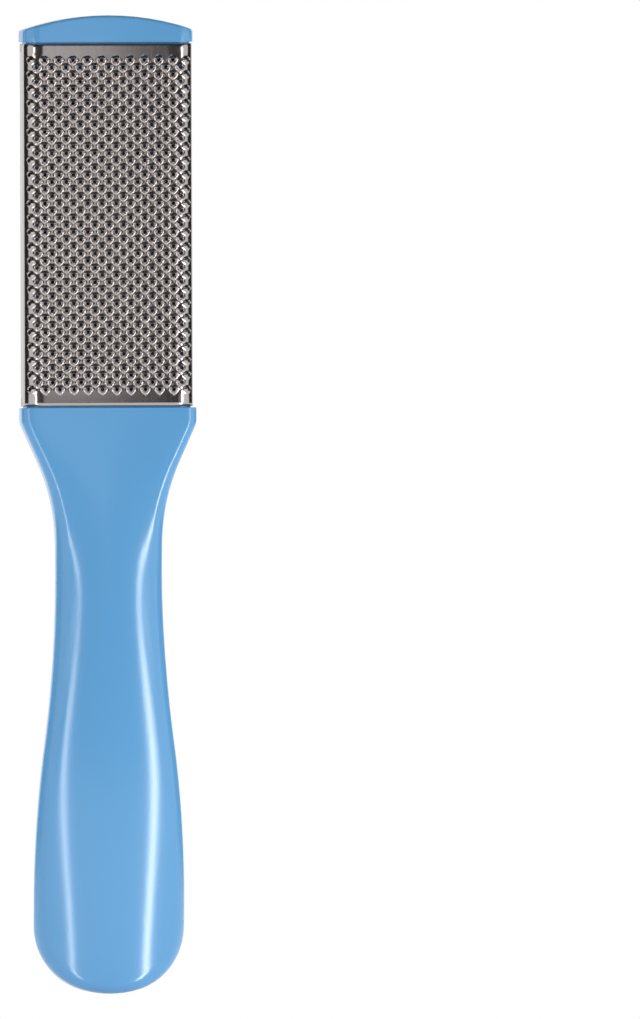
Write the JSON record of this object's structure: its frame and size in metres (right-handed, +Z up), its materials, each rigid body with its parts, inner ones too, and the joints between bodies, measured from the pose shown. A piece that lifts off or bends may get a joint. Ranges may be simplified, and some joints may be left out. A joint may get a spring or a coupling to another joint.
{
  "type": "foot file",
  "caption": "Two-sided foot file with a pierced steel rasp, an emery back that opens a hollow for filings, and a long waisted grip.",
  "frame": {"origin": "middle of the hand grip, on the file's centre plane", "axes": "+Z up along the length to the tip of the head, -Y out of the rasp face, +Y out of the emery face, +X to the right seen from the rasp side"},
  "size_m": [0.0368, 0.0116, 0.205],
  "materials": {
    "blue_moulding": "glossy injection-moulded polypropylene",
    "rasp_steel": "bright pierced stainless sheet",
    "blue_panel": "glossy injection-moulded polypropylene",
    "glue": "clear self-adhesive film",
    "backing_paper": "dark waterproof abrasive paper",
    "grit": "coarse black abrasive grit"
  },
  "bodies": {
    "file_body": {"handle_frame": "blue_moulding", "rasp_plate": "rasp_steel"},
    "lid_body": {"emery_lid": "blue_panel", "glue_film": "glue", "emery_paper": "backing_paper", "emery_grit": "grit"}
  },
  "joints": [
    {"name": "lid_tilt", "type": "hinge", "parent": "file_body", "child": "lid_body", "pos_m": [0, 0.0041, 0.1374], "axis": [1, 0, 0], "range_deg": [0, 60]}
  ]
}
